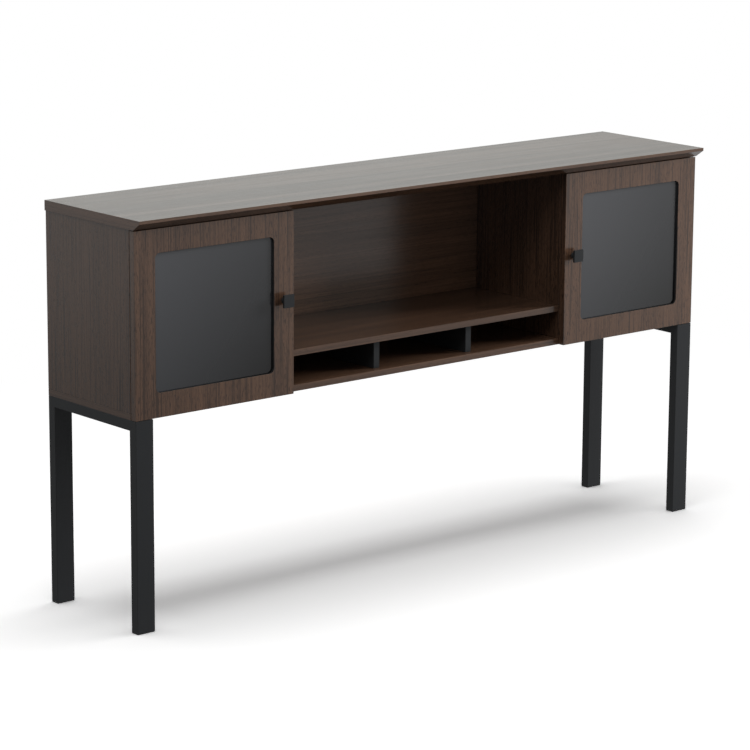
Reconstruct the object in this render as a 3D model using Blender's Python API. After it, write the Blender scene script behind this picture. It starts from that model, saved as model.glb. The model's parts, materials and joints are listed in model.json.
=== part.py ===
"""Storage hutch: a long cabinet with two glazed doors and an open middle bay, on two welded leg frames.

Blender 4.5, metres, +Z up. X runs along the length and the front faces -Y. The origin lies on the floor,
under the middle of the box round the hutch. The doors are drawn closed, each parented to an empty on its
hinge axis.
"""

import math

import bmesh
import bpy
from mathutils import Matrix, Vector

# Top board, with a nose that is undercut back to the door fronts
TOP_LENGTH = 1.829
TOP_DEPTH = 0.381
TOP_THICKNESS = 0.025
NOSE_OVERHANG = 0.026
NOSE_HEIGHT = 0.0075
END_OVERHANG = 0.003

# Cabinet boards
BOARD = 0.016
SIDE_HEIGHT = 0.432
BAY_WIDTH = 0.889
SLOT_HEIGHT = 0.071
SLOT_COUNT = 3
DIVIDER_THICKNESS = 0.018
DIVIDER_SETBACK = 0.020
EDGE_EASE = 0.0006

# Leg frames, welded from flat tube
LEG_HEIGHT = 0.514
LEG_FACE = 0.050
LEG_EDGE = 0.025
TUBE_WALL = 0.002
TUBE_CORNER = 0.001
FOOT_THICKNESS = 0.003
FOOT_PLUG = 0.018
FOOT_CORNER = 0.002
BOLT_RADIUS = 0.003
BOLT_HEAD_RADIUS = 0.006
BOLT_HEAD_HEIGHT = 0.004
BOLT_HEAD_CHAMFER = 0.0014
BOLT_BITE = 0.012
BOLT_FROM_LEG = 0.060

# Doors
DOOR_THICKNESS = 0.018
DOOR_TOP_GAP = 0.002
DOOR_BOTTOM_GAP = 0.001
STILE = 0.0595
TOP_RAIL = 0.057
BOTTOM_RAIL = 0.059
WINDOW_RADIUS = 0.0127
GLASS_THICKNESS = 0.004
GLASS_LAP = 0.0075
GLASS_RADIUS = 0.006
BEAD_THICKNESS = 0.007
BEAD_WIDTH = 0.005
BUMPER_RADIUS = 0.004
BUMPER_ROUND = 0.0006
BUMPER_FROM_EDGE = 0.030

# Knobs
KNOB_SIDE = 0.031
KNOB_HEAD = 0.006
KNOB_REACH = 0.0206
KNOB_ABOVE_MIDDLE = 0.010
KNOB_POST_RADIUS = 0.006
KNOB_POST_FLARE = 0.002
KNOB_FLARE_LENGTH = 0.004
SCREW_RADIUS = 0.002
SCREW_HEAD_RADIUS = 0.004
SCREW_HEAD_HEIGHT = 0.0024
SCREW_HEAD_CHAMFER = 0.0012
SCREW_BITE = 0.010

# Cup hinges, with one pin each
HINGE_FROM_EDGE = 0.085
CUP_RADIUS = 0.0175
CUP_SKIN = 0.005
CUP_WALL = 0.0008
CUP_TAB = 0.002
CUP_FLANGE = 0.0012
FLANGE_HEIGHT = 0.060
FLANGE_WIDTH = 0.018
FLANGE_SHIFT = 0.006
FLANGE_CORNER = 0.005
FLANGE_SCREW_SPACING = 0.048
HINGE_HOLE_RADIUS = 0.0018
PIN_RADIUS = 0.001
KNUCKLE_RADIUS = 0.0019
KNUCKLE_GAP = 0.001
ARM_WIDTH = 0.009
ARM_SHEET = 0.0016
ARM_LENGTH = 0.068
ARM_BEND = 0.004
ARM_SIDE_START = 0.012
PLATE_BASE = 0.002
PLATE_BOSS = 0.0064
PLATE_HEIGHT = 0.050
PLATE_WIDTH = 0.020
PLATE_CORNER = 0.004
PLATE_FROM_FRONT = 0.037
PLATE_SCREW_SPACING = 0.032
BOSS_LENGTH = 0.044

# Clearances
FIT = 0.0003
SWING_CLEARANCE = 0.0003
CUT_OVER = 0.002

# Facets of round work
EDGE_STEPS = 2
CORNER_STEPS = 6
HOLE_STEPS = 12
SMALL_STEPS = 16
ROUND_STEPS = 32

# Limits used while shaping
SMOOTH_ANGLE = math.radians(35)
EASE_ANGLE = math.radians(40)
SAME_WAY = 0.99
SAME_PLACE = 1e-6
QUARTER_TURN = math.radians(90)

# Places across the length, measured from the middle
HALF_CARCASS = TOP_LENGTH / 2 - END_OVERHANG
END_INNER = HALF_CARCASS - BOARD
UPRIGHT_INNER = BAY_WIDTH / 2
UPRIGHT_OUTER = UPRIGHT_INNER + BOARD
DOOR_WIDTH = HALF_CARCASS - UPRIGHT_INNER
SLOT_WIDTH = (BAY_WIDTH - (SLOT_COUNT - 1) * DIVIDER_THICKNESS) / SLOT_COUNT

# The hinge pin, measured in from the door's outer edge and back from its front
CUP_INSET = CUP_TAB + CUP_RADIUS
KNUCKLE_CHORD = math.sqrt((CUP_RADIUS - CUP_WALL) ** 2 - (ARM_WIDTH / 2) ** 2)
PIN_INSET = CUP_INSET - KNUCKLE_CHORD + KNUCKLE_GAP + KNUCKLE_RADIUS
PIN_DEPTH = CUP_SKIN + CUP_WALL + FIT + KNUCKLE_RADIUS
PIN_TO_BACK = DOOR_THICKNESS - PIN_DEPTH

# The gap behind the doors, which lets the eased back corner swing past the end panel
EASE_CUT = EDGE_EASE * (1 - math.sqrt(0.5))
SWING_RADIUS = math.hypot(PIN_INSET - EASE_CUT, PIN_TO_BACK - EASE_CUT)
DOOR_STANDOFF = SWING_RADIUS - PIN_TO_BACK + SWING_CLEARANCE
ARM_SEAT = BOARD + FIT + PLATE_BASE + PLATE_BOSS + FIT

# Places from front to back
NOSE = -TOP_DEPTH / 2
BACK = TOP_DEPTH / 2
DOOR_FRONT = NOSE + NOSE_OVERHANG
DOOR_BACK = DOOR_FRONT + DOOR_THICKNESS
CARCASS_FRONT = DOOR_BACK + DOOR_STANDOFF
BACK_PANEL_FRONT = BACK - BOARD
CARCASS_DEPTH_IN = CARCASS_FRONT - DOOR_FRONT
GLASS_BACK = DOOR_BACK - BEAD_THICKNESS - FIT
GLASS_FRONT = GLASS_BACK - GLASS_THICKNESS

# Heights above the floor
BOTTOM_UNDER = LEG_HEIGHT + FIT
FLOOR_BOARD = BOTTOM_UNDER + BOARD
SIDE_FOOT = FLOOR_BOARD + FIT
SIDE_HEAD = SIDE_FOOT + SIDE_HEIGHT
TOP_UNDER = SIDE_HEAD + FIT
TOP_FACE = TOP_UNDER + TOP_THICKNESS
SHELF_UNDER = FLOOR_BOARD + SLOT_HEIGHT
SHELF_FACE = SHELF_UNDER + BOARD
DOOR_FOOT = LEG_HEIGHT + DOOR_BOTTOM_GAP
DOOR_HEAD = TOP_UNDER - DOOR_TOP_GAP
KNOB_HEIGHT = (DOOR_FOOT + DOOR_HEAD) / 2 + KNOB_ABOVE_MIDDLE
KNOB_INSET = DOOR_WIDTH - STILE / 2

FACING_FRONT = Matrix.Rotation(QUARTER_TURN, 4, "X")
FACING_BACK = Matrix.Rotation(-QUARTER_TURN, 4, "X")
SIDES = (("left", -1), ("right", 1))


def clear_scene():
    for item in list(bpy.data.objects):
        bpy.data.objects.remove(item, do_unlink=True)


def finish(name, colour, roughness, metallic=0.0):
    made = bpy.data.materials.new(name)
    made.use_nodes = True
    shader = made.node_tree.nodes["Principled BSDF"]
    shader.inputs["Base Color"].default_value = (*colour, 1.0)
    shader.inputs["Roughness"].default_value = roughness
    shader.inputs["Metallic"].default_value = metallic
    return made


def new_object(name, shape, look=None, place=(0, 0, 0)):
    """Turns a finished bmesh into a named object in the scene."""
    mesh = bpy.data.meshes.new(name)
    shape.to_mesh(mesh)
    shape.free()
    if look:
        mesh.materials.append(look)
    made = bpy.data.objects.new(name, mesh)
    made.location = place
    bpy.context.scene.collection.objects.link(made)
    return made


def shade_round(piece):
    piece.data.shade_smooth()
    piece.data.set_sharp_from_angle(angle=SMOOTH_ANGLE)
    return piece


def block(low, high):
    """A box between two corners."""
    low, high = Vector(low), Vector(high)
    shape = bmesh.new()
    size = Matrix.Diagonal((*(high - low), 1.0))
    bmesh.ops.create_cube(shape, size=1.0, matrix=Matrix.Translation((low + high) / 2) @ size)
    return shape


def prism(outline, along):
    """A flat outline pushed straight along a vector."""
    shape = bmesh.new()
    face = shape.faces.new([shape.verts.new(point) for point in outline])
    pushed = bmesh.ops.extrude_face_region(shape, geom=[face])["geom"]
    corners = [item for item in pushed if isinstance(item, bmesh.types.BMVert)]
    bmesh.ops.translate(shape, verts=corners, vec=Vector(along))
    bmesh.ops.recalc_face_normals(shape, faces=shape.faces)
    return shape


def stacked(outlines):
    """A solid through outlines of equal length, closed by the first and the last."""
    shape = bmesh.new()
    rings = [[shape.verts.new(point) for point in outline] for outline in outlines]
    shape.faces.new(rings[0])
    shape.faces.new(rings[-1])
    for ring, following in zip(rings, rings[1:]):
        for place in range(len(ring)):
            after = (place + 1) % len(ring)
            shape.faces.new((ring[place], ring[after], following[after], following[place]))
    bmesh.ops.recalc_face_normals(shape, faces=shape.faces)
    return shape


def turned(profile, steps):
    """A profile of (radius, height) points, from axis to axis, spun about Z and closed by flat ends."""
    shape = bmesh.new()
    points = [shape.verts.new((radius, 0.0, height)) for radius, height in profile]
    lines = [shape.edges.new(pair) for pair in zip(points, points[1:])]
    bmesh.ops.spin(
        shape, geom=points + lines, cent=(0, 0, 0), axis=(0, 0, 1),
        angle=4 * QUARTER_TURN, steps=steps, use_merge=True,
    )
    bmesh.ops.remove_doubles(shape, verts=shape.verts, dist=SAME_PLACE)
    middles = [point for point in shape.verts if point.co.xy.length < SAME_PLACE]
    bmesh.ops.dissolve_verts(shape, verts=middles)
    bmesh.ops.recalc_face_normals(shape, faces=shape.faces)
    return shape


def rod(radius, start, end, steps=SMALL_STEPS):
    """A round bar between two points."""
    start, end = Vector(start), Vector(end)
    shape = turned(((0, 0), (radius, 0), (radius, (end - start).length), (0, (end - start).length)), steps)
    turn = (end - start).to_track_quat("Z", "Y").to_matrix().to_4x4()
    bmesh.ops.transform(shape, matrix=Matrix.Translation(start) @ turn, verts=shape.verts)
    return shape


def fastener(head_radius, head_height, chamfer, radius, length, steps):
    """A chamfered head under a plain shank that points up from the seat at height zero."""
    return turned(((0, -head_height), (head_radius - chamfer, -head_height),
                   (head_radius, chamfer - head_height), (head_radius, 0),
                   (radius, 0), (radius, length), (0, length)), steps)


def on_circle(centre, radius, turn):
    return centre[0] + radius * math.cos(turn), centre[1] + radius * math.sin(turn)


def rounded(low, high, radius):
    """Points of a flat rectangle with round corners, as pairs, running the same way round."""
    centres = (
        (high[0] - radius, high[1] - radius), (low[0] + radius, high[1] - radius),
        (low[0] + radius, low[1] + radius), (high[0] - radius, low[1] + radius),
    )
    points = []
    for quarter, (across, up) in enumerate(centres):
        for step in range(CORNER_STEPS + 1):
            turn = QUARTER_TURN * (quarter + step / CORNER_STEPS)
            points.append(on_circle((across, up), radius, turn))
    return points


def flat(points, height):
    """Pairs laid level at a height."""
    return [(across, along, height) for across, along in points]


def upright(points, depth):
    """Pairs stood up facing the front, at a place from front to back."""
    return [(across, depth, height) for across, height in points]


def ease(piece, width=EDGE_EASE):
    """Takes the sharp edge off a board."""
    step = piece.modifiers.new("eased_edges", "BEVEL")
    step.width = width
    step.segments = EDGE_STEPS
    step.limit_method = "ANGLE"
    step.angle_limit = EASE_ANGLE
    return piece


def use_tool(piece, name, shape, operation):
    """Cuts or joins a hidden helper shape, drawn about the same origin, into a piece."""
    helper = new_object(name, shape)
    helper.parent = piece
    helper.hide_render = True
    helper.display_type = "WIRE"
    step = piece.modifiers.new(name, "BOOLEAN")
    step.operation = operation
    step.solver = "EXACT"
    step.object = helper


def board(name, low, high, look):
    return ease(new_object(name, block(low, high), look))


def make_top():
    outline = ((NOSE, TOP_FACE), (BACK, TOP_FACE), (BACK, TOP_UNDER), (DOOR_FRONT, TOP_UNDER),
               (NOSE, TOP_FACE - NOSE_HEIGHT))
    end = [(-TOP_LENGTH / 2, depth, height) for depth, height in outline]
    ease(new_object("top_panel", prism(end, (TOP_LENGTH, 0, 0)), WALNUT))


def bolt_places(side):
    """Where the bolts of one leg frame go up, in the middle of its rail."""
    across = side * (HALF_CARCASS - LEG_FACE / 2)
    return (
        ("front", (across, DOOR_FRONT + LEG_EDGE + BOLT_FROM_LEG)),
        ("back", (across, BACK - LEG_EDGE - BOLT_FROM_LEG)),
    )


def make_carcass():
    bottom = board("bottom_panel", (-HALF_CARCASS, CARCASS_FRONT, BOTTOM_UNDER),
                   (HALF_CARCASS, BACK, FLOOR_BOARD), WALNUT)
    board("back_panel", (-END_INNER + FIT, BACK_PANEL_FRONT, SIDE_FOOT),
          (END_INNER - FIT, BACK, SIDE_HEAD), WALNUT)
    board("centre_shelf", (-UPRIGHT_INNER + FIT, CARCASS_FRONT, SHELF_UNDER),
          (UPRIGHT_INNER - FIT, BACK_PANEL_FRONT - FIT, SHELF_FACE), WALNUT)
    for word, side in SIDES:
        ends = sorted((side * END_INNER, side * HALF_CARCASS))
        board(f"{word}_end_panel", (ends[0], CARCASS_FRONT, SIDE_FOOT), (ends[1], BACK, SIDE_HEAD), WALNUT)
        ends = sorted((side * UPRIGHT_INNER, side * UPRIGHT_OUTER))
        board(f"{word}_upright", (ends[0], CARCASS_FRONT, SIDE_FOOT),
              (ends[1], BACK_PANEL_FRONT - FIT, SIDE_HEAD), WALNUT)
        for place, (across, along) in bolt_places(side):
            hole = rod(BOLT_RADIUS + FIT, (across, along, BOTTOM_UNDER - CUT_OVER),
                       (across, along, BOTTOM_UNDER + BOLT_BITE))
            use_tool(bottom, f"{word}_{place}_bolt_hole", hole, "DIFFERENCE")


def make_dividers():
    for number in range(1, SLOT_COUNT):
        start = -UPRIGHT_INNER + number * SLOT_WIDTH + (number - 1) * DIVIDER_THICKNESS
        board(f"slot_divider_{number}", (start, CARCASS_FRONT + DIVIDER_SETBACK, FLOOR_BOARD + FIT),
              (start + DIVIDER_THICKNESS, BACK_PANEL_FRONT - FIT, SHELF_UNDER - FIT), CHARCOAL)


def frame_outline(inset, foot):
    """The U of a leg frame seen from its end, drawn a little inside its outer faces."""
    front, back, head = DOOR_FRONT + inset, BACK - inset, LEG_HEIGHT - inset
    edge = LEG_EDGE - 2 * inset
    return ((front, foot), (front + edge, foot), (front + edge, head - edge), (back - edge, head - edge),
            (back - edge, foot), (back, foot), (back, head), (front, head))


def round_tube(shape, foot):
    """Rounds the tube's outer corners, but not its sawn lower ends or its welded inner corners."""
    corners = []
    for edge in shape.edges:
        at_foot = all(corner.co.z < foot + CUT_OVER for corner in edge.verts)
        if edge.is_convex and not at_foot:
            corners.append(edge)
    bmesh.ops.bevel(shape, geom=corners, offset=TUBE_CORNER, segments=EDGE_STEPS, profile=0.5, affect="EDGES")
    return shape


def make_leg_frame(word, side):
    foot = FOOT_THICKNESS + FIT
    inner, outer = sorted((side * (HALF_CARCASS - LEG_FACE), side * HALF_CARCASS))
    solid = prism([(inner, along, height) for along, height in frame_outline(0, foot)], (LEG_FACE, 0, 0))
    frame = new_object(f"{word}_leg_frame", round_tube(solid, foot), CHARCOAL)
    hollow = prism(
        [(inner + TUBE_WALL, along, height) for along, height in frame_outline(TUBE_WALL, foot - CUT_OVER)],
        (LEG_FACE - 2 * TUBE_WALL, 0, 0),
    )
    use_tool(frame, f"{word}_frame_hollow", hollow, "DIFFERENCE")
    under = LEG_HEIGHT - LEG_EDGE
    for place, (across, along) in bolt_places(side):
        hole = rod(BOLT_RADIUS + FIT, (across, along, under - CUT_OVER),
                   (across, along, LEG_HEIGHT + CUT_OVER))
        use_tool(frame, f"{word}_{place}_frame_hole", hole, "DIFFERENCE")
        bolt = fastener(BOLT_HEAD_RADIUS, BOLT_HEAD_HEIGHT, BOLT_HEAD_CHAMFER, BOLT_RADIUS,
                        LEG_EDGE + BOLT_BITE, ROUND_STEPS)
        bmesh.ops.translate(bolt, verts=bolt.verts, vec=(across, along, under - FIT))
        shade_round(new_object(f"{word}_{place}_frame_bolt", bolt, STEEL))
    for place, along in (("front", DOOR_FRONT), ("back", BACK - LEG_EDGE)):
        tread = rounded((inner, along), (outer, along + LEG_EDGE), FOOT_CORNER)
        gap = TUBE_WALL + FIT
        plug = rounded((inner + gap, along + gap), (outer - gap, along + LEG_EDGE - gap), FOOT_CORNER)
        new_object(f"{word}_{place}_foot", stacked((
            flat(tread, 0), flat(tread, FOOT_THICKNESS), flat(plug, FOOT_THICKNESS),
            flat(plug, FOOT_THICKNESS + FOOT_PLUG))), PLASTIC)


def at(side, inset, depth, height):
    """A place on a door, measured in from its outer edge and back from its front."""
    return Vector((side * (HALF_CARCASS - inset), DOOR_FRONT + depth, height))


def window(side, grow, radius):
    """The window's outline in a door, grown all round."""
    edges = sorted((side * (HALF_CARCASS - STILE), side * (UPRIGHT_INNER + STILE)))
    return rounded((edges[0] - grow, DOOR_FOOT + BOTTOM_RAIL - grow),
                   (edges[1] + grow, DOOR_HEAD - TOP_RAIL + grow), radius)


def hinge_heights():
    return (("upper", DOOR_HEAD - HINGE_FROM_EDGE), ("lower", DOOR_FOOT + HINGE_FROM_EDGE))


def by_hinge(side, inset, depth, up):
    """A place on a hinge, measured like one on the door but up from the hinge's middle."""
    return Vector((-side * inset, depth, up))


def screw_rises(spacing):
    """How far the two screws of a hinge cup or plate lie above its middle."""
    return (("high", spacing / 2), ("low", -spacing / 2))


def make_door_frame(word, side):
    """The door slab, bored for hinge cups and knob screw, its round-cornered window rebated from behind."""
    edges = sorted((side * UPRIGHT_INNER, side * HALF_CARCASS))
    door = board(f"{word}_door_frame", (edges[0], DOOR_FRONT, DOOR_FOOT),
                 (edges[1], DOOR_BACK, DOOR_HEAD), WALNUT)
    for level, height in hinge_heights():
        bore = rod(CUP_RADIUS + FIT, at(side, CUP_INSET, CUP_SKIN - FIT, height),
                   at(side, CUP_INSET, DOOR_THICKNESS + CUT_OVER, height), ROUND_STEPS)
        use_tool(door, f"{word}_{level}_cup_bore", bore, "DIFFERENCE")
    hole = rod(SCREW_RADIUS + FIT, at(side, KNOB_INSET, -CUT_OVER, KNOB_HEIGHT),
               at(side, KNOB_INSET, DOOR_THICKNESS + CUT_OVER, KNOB_HEIGHT))
    use_tool(door, f"{word}_screw_hole", hole, "DIFFERENCE")
    rebate = window(side, GLASS_LAP + FIT, GLASS_RADIUS)
    use_tool(door, f"{word}_rebate", stacked((
        upright(rebate, GLASS_FRONT - FIT), upright(rebate, DOOR_BACK + CUT_OVER))), "DIFFERENCE")
    sight = window(side, 0, WINDOW_RADIUS)
    flare = window(side, EDGE_EASE + CUT_OVER, WINDOW_RADIUS + EDGE_EASE + CUT_OVER)
    use_tool(door, f"{word}_window", stacked((
        upright(flare, DOOR_FRONT - CUT_OVER), upright(sight, DOOR_FRONT + EDGE_EASE),
        upright(sight, DOOR_BACK + CUT_OVER))), "DIFFERENCE")
    return door


def make_glazing(word, side):
    """The pane in its rebate and the bead behind it that keeps it there, flush with the door's back."""
    pane = window(side, GLASS_LAP, GLASS_RADIUS)
    glass = new_object(f"{word}_glass", stacked((
        upright(pane, GLASS_FRONT), upright(pane, GLASS_BACK))), GLASS)
    bead = new_object(f"{word}_glass_bead", stacked((
        upright(pane, DOOR_BACK - BEAD_THICKNESS), upright(pane, DOOR_BACK))), PLASTIC)
    inner = window(side, GLASS_LAP - BEAD_WIDTH, WINDOW_RADIUS)
    use_tool(bead, f"{word}_bead_opening", stacked((
        upright(inner, GLASS_BACK), upright(inner, DOOR_BACK + CUT_OVER))), "DIFFERENCE")
    return [glass, bead]


def make_bumpers(word, side):
    """Soft buttons on the door's back that meet the upright's front edge."""
    made = []
    thick = DOOR_STANDOFF - 2 * FIT
    heights = (("upper", DOOR_HEAD - BUMPER_FROM_EDGE), ("lower", DOOR_FOOT + BUMPER_FROM_EDGE))
    for place, height in heights:
        dome = turned(((0, 0), (BUMPER_RADIUS, 0), (BUMPER_RADIUS, thick - BUMPER_ROUND),
                       (BUMPER_RADIUS - BUMPER_ROUND, thick), (0, thick)), SMALL_STEPS)
        seat = at(side, DOOR_WIDTH - BOARD / 2, DOOR_THICKNESS + FIT, height)
        bmesh.ops.transform(dome, matrix=Matrix.Translation(seat) @ FACING_BACK, verts=dome.verts)
        made.append(shade_round(new_object(f"{word}_{place}_bumper", dome, RUBBER)))
    return made


def make_knob(word, side):
    """A square head on a waisted post, drawn up by a screw from behind the door."""
    seat = Matrix.Translation(at(side, KNOB_INSET, -FIT, KNOB_HEIGHT)) @ FACING_FRONT
    length = KNOB_REACH - KNOB_HEAD - FIT
    wide = KNOB_POST_RADIUS + KNOB_POST_FLARE
    top = length + KNOB_HEAD / 2
    post = turned(((0, 0), (wide, 0), (KNOB_POST_RADIUS, KNOB_FLARE_LENGTH),
                   (KNOB_POST_RADIUS, length - KNOB_FLARE_LENGTH), (wide, length), (wide, top), (0, top)),
                  ROUND_STEPS)
    bmesh.ops.transform(post, matrix=seat, verts=post.verts)
    half = KNOB_SIDE / 2
    head = block((-half, -half, length), (half, half, length + KNOB_HEAD))
    bmesh.ops.transform(head, matrix=seat, verts=head.verts)
    knob = ease(new_object(f"{word}_knob", head, CHARCOAL))
    use_tool(knob, f"{word}_knob_post", post, "UNION")
    hole = rod(SCREW_RADIUS + FIT, at(side, KNOB_INSET, CUT_OVER, KNOB_HEIGHT),
               at(side, KNOB_INSET, -SCREW_BITE - 2 * FIT, KNOB_HEIGHT))
    use_tool(knob, f"{word}_knob_hole", hole, "DIFFERENCE")
    screw = fastener(SCREW_HEAD_RADIUS, SCREW_HEAD_HEIGHT, SCREW_HEAD_CHAMFER, SCREW_RADIUS,
                     SCREW_BITE + DOOR_THICKNESS + FIT, SMALL_STEPS)
    seat = Matrix.Translation(at(side, KNOB_INSET, DOOR_THICKNESS + FIT, KNOB_HEIGHT)) @ FACING_FRONT
    bmesh.ops.transform(screw, matrix=seat, verts=screw.verts)
    return [knob, shade_round(new_object(f"{word}_knob_screw", screw, STEEL))]


def make_cup(name, side, place):
    """The hinge cup let into the door's back, with its screw flange and the pin across it."""
    rim = DOOR_THICKNESS + FIT + CUP_FLANGE / 2
    body = rod(CUP_RADIUS, by_hinge(side, CUP_INSET, CUP_SKIN, 0), by_hinge(side, CUP_INSET, rim, 0),
               ROUND_STEPS)
    cup = new_object(f"{name}_cup", body, STEEL, place)
    screw_line = CUP_INSET + FLANGE_SHIFT
    middle = by_hinge(side, screw_line, DOOR_THICKNESS + FIT, 0)
    outline = rounded((middle.x - FLANGE_WIDTH / 2, -FLANGE_HEIGHT / 2),
                      (middle.x + FLANGE_WIDTH / 2, FLANGE_HEIGHT / 2), FLANGE_CORNER)
    flange = stacked((upright(outline, middle.y), upright(outline, middle.y + CUP_FLANGE)))
    use_tool(cup, f"{name}_flange", flange, "UNION")
    above = DOOR_THICKNESS + CUP_FLANGE + CUT_OVER
    well = rod(CUP_RADIUS - CUP_WALL, by_hinge(side, CUP_INSET, CUP_SKIN + CUP_WALL, 0),
               by_hinge(side, CUP_INSET, above, 0), ROUND_STEPS)
    use_tool(cup, f"{name}_well", well, "DIFFERENCE")
    for word, rise in screw_rises(FLANGE_SCREW_SPACING):
        hole = rod(HINGE_HOLE_RADIUS, by_hinge(side, screw_line, DOOR_THICKNESS - CUT_OVER, rise),
                   by_hinge(side, screw_line, above, rise), HOLE_STEPS)
        use_tool(cup, f"{name}_{word}_flange_hole", hole, "DIFFERENCE")
    eye = rod(PIN_RADIUS + FIT, by_hinge(side, PIN_INSET, PIN_DEPTH, -CUP_RADIUS),
              by_hinge(side, PIN_INSET, PIN_DEPTH, CUP_RADIUS))
    use_tool(cup, f"{name}_pin_eye", eye, "DIFFERENCE")
    reach = math.sqrt(CUP_RADIUS ** 2 - (CUP_INSET - PIN_INSET + PIN_RADIUS) ** 2)
    pin = rod(PIN_RADIUS, by_hinge(side, PIN_INSET, PIN_DEPTH, -reach),
              by_hinge(side, PIN_INSET, PIN_DEPTH, reach))
    return [shade_round(cup), shade_round(new_object(f"{name}_pin", pin, STEEL, place))]


def arm_outline():
    """The arm seen along the pin: round the knuckle, in along the cup floor, then back into the cabinet."""
    floor = PIN_DEPTH - KNUCKLE_RADIUS
    far = CARCASS_DEPTH_IN + ARM_LENGTH
    outer = ARM_BEND + ARM_SHEET
    centre = (ARM_SEAT - ARM_BEND, floor + outer)
    leaves = math.asin((ARM_SHEET - KNUCKLE_RADIUS) / KNUCKLE_RADIUS)
    points = []
    for step in range(SMALL_STEPS + 1):
        turn = leaves + (3 * QUARTER_TURN - leaves) * step / SMALL_STEPS
        points.append(on_circle((PIN_INSET, PIN_DEPTH), KNUCKLE_RADIUS, turn))
    bend = [QUARTER_TURN * (step / CORNER_STEPS - 1) for step in range(CORNER_STEPS + 1)]
    points += [on_circle(centre, outer, turn) for turn in bend]
    points += [(ARM_SEAT + ARM_SHEET, far), (ARM_SEAT, far)]
    points += [on_circle(centre, ARM_BEND, turn) for turn in reversed(bend)]
    return points


def fold_sides(shape, side):
    """Folds the two long edges of the arm down towards the end panel, to make a channel."""
    near = by_hinge(side, 0, CARCASS_DEPTH_IN + ARM_SIDE_START, 0)
    fold = ARM_WIDTH / 2 - ARM_SHEET
    across, level = (0, 1, 0), (0, 0, 1)
    for place, normal in ((near, across), ((0, 0, -fold), level), ((0, 0, fold), level)):
        everything = shape.verts[:] + shape.edges[:] + shape.faces[:]
        bmesh.ops.bisect_plane(shape, geom=everything, dist=SAME_PLACE, plane_co=place, plane_no=normal)
    outwards = Vector((side, 0, 0))
    edges = []
    for face in shape.faces:
        middle = face.calc_center_median()
        if face.normal.dot(outwards) > SAME_WAY and abs(middle.z) > fold and middle.y > near.y:
            edges.append(face)
    pushed = bmesh.ops.extrude_face_region(shape, geom=edges)["geom"]
    corners = [item for item in pushed if isinstance(item, bmesh.types.BMVert)]
    bmesh.ops.delete(shape, geom=edges, context="FACES_ONLY")
    drop = ARM_SEAT - (BOARD + 2 * FIT + PLATE_BASE)
    bmesh.ops.translate(shape, verts=corners, vec=outwards * drop)
    sloped = [corner for corner in corners if corner.co.y < near.y + CUT_OVER]
    bmesh.ops.translate(shape, verts=sloped, vec=(0, drop, 0))
    return shape


def make_arm(name, side, place):
    """The arm on the cabinet side: a bent strip with a knuckle at one end and folded sides at the other."""
    half = ARM_WIDTH / 2
    strip = prism([by_hinge(side, inset, depth, -half) for inset, depth in arm_outline()], (0, 0, ARM_WIDTH))
    arm = new_object(f"{name}_arm", fold_sides(strip, side), STEEL, place)
    eye = rod(PIN_RADIUS + FIT, by_hinge(side, PIN_INSET, PIN_DEPTH, -half - CUT_OVER),
              by_hinge(side, PIN_INSET, PIN_DEPTH, half + CUT_OVER))
    use_tool(arm, f"{name}_knuckle_eye", eye, "DIFFERENCE")


def make_plate(name, side, place):
    """The plate screwed to the end panel, with the boss that the arm slides over."""
    face = BOARD + FIT
    middle = CARCASS_DEPTH_IN + PLATE_FROM_FRONT
    outline = rounded((middle - PLATE_WIDTH / 2, -PLATE_HEIGHT / 2),
                      (middle + PLATE_WIDTH / 2, PLATE_HEIGHT / 2), PLATE_CORNER)
    base = stacked([[by_hinge(side, inset, depth, up) for depth, up in outline]
                    for inset in (face, face + PLATE_BASE)])
    plate = new_object(f"{name}_plate", base, STEEL, place)
    half = ARM_WIDTH / 2 - ARM_SHEET - FIT
    ends = sorted((-side * (face + PLATE_BASE / 2), -side * (ARM_SEAT - FIT)))
    boss = block((ends[0], middle - BOSS_LENGTH / 2, -half), (ends[1], middle + BOSS_LENGTH / 2, half))
    use_tool(plate, f"{name}_boss", boss, "UNION")
    for word, rise in screw_rises(PLATE_SCREW_SPACING):
        hole = rod(HINGE_HOLE_RADIUS, by_hinge(side, face - CUT_OVER, middle, rise),
                   by_hinge(side, face + PLATE_BASE + CUT_OVER, middle, rise), HOLE_STEPS)
        use_tool(plate, f"{name}_{word}_plate_hole", hole, "DIFFERENCE")


def hang(word, side, pieces):
    """Parents a door's pieces to an empty on its hinge axis."""
    axis = bpy.data.objects.new(f"{word}_door_axis", None)
    axis.location = at(side, PIN_INSET, PIN_DEPTH, DOOR_FOOT)
    bpy.context.scene.collection.objects.link(axis)
    for piece in pieces:
        piece.parent = axis
        piece.matrix_parent_inverse = Matrix.Translation(-axis.location)


def main():
    make_top()
    make_carcass()
    make_dividers()
    for word, side in SIDES:
        make_leg_frame(word, side)
        pieces = [make_door_frame(word, side)]
        pieces += make_glazing(word, side) + make_bumpers(word, side) + make_knob(word, side)
        for level, height in hinge_heights():
            name = f"{word}_{level}_hinge"
            place = at(side, 0, 0, height)
            pieces += make_cup(name, side, place)
            make_arm(name, side, place)
            make_plate(name, side, place)
        hang(word, side, pieces)


clear_scene()
WALNUT = finish("dark_walnut_laminate", (0.050, 0.031, 0.023), 0.45)
CHARCOAL = finish("charcoal_powder_coat", (0.022, 0.023, 0.024), 0.55)
GLASS = finish("smoked_glass", (0.035, 0.037, 0.040), 0.25)
STEEL = finish("nickel_plate", (0.60, 0.59, 0.57), 0.28, 1.0)
PLASTIC = finish("black_plastic", (0.015, 0.015, 0.016), 0.60)
RUBBER = finish("clear_rubber", (0.55, 0.56, 0.56), 0.35)
main()
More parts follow.
